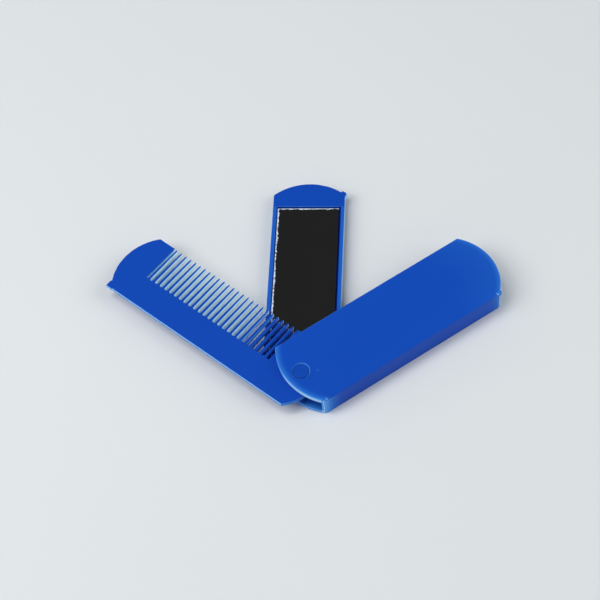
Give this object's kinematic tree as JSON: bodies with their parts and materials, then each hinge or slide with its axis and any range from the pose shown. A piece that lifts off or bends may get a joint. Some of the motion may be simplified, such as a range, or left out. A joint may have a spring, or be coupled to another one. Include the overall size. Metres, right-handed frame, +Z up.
{
  "type": "pocket mirror comb",
  "caption": "Folding pocket comb and mirror: a channel-shaped case with a comb leaf above a mirror leaf, both swinging out sideways on one rivet.",
  "frame": {"origin": "on the case's flat underside, midway along the case and midway between its spine and its open edge", "axes": "+X along the case from the rivet end to the far end, +Y out of the case's open side, +Z up through the top plate"},
  "size_m": [0.1264, 0.1022, 0.0097],
  "materials": {
    "case_plastic": "semi-gloss moulded plastic, royal blue",
    "pin_plastic": "semi-gloss moulded plastic, royal blue",
    "leaf_plastic": "semi-gloss moulded plastic, royal blue",
    "mirror": "silvered flat glass with a roughly ground edge",
    "tape": "white double-sided foam tape, hidden behind the glass"
  },
  "bodies": {
    "case": {"case": "case_plastic", "pivot_pin": "pin_plastic"},
    "comb": {"comb_blade": "leaf_plastic"},
    "mirror": {"mirror_holder": "leaf_plastic", "mirror_glass": "mirror", "mirror_adhesive": "tape"}
  },
  "joints": [
    {"name": "comb_hinge", "type": "hinge", "parent": "case", "child": "comb", "pos_m": [-0.0401, 0.00085, 0.00595], "axis": [0, 0, 1], "range_deg": [-107, 72]},
    {"name": "mirror_hinge", "type": "hinge", "parent": "case", "child": "mirror", "pos_m": [-0.0401, 0.00085, 0.00345], "axis": [0, 0, 1], "range_deg": [-53.8, 125]}
  ]
}
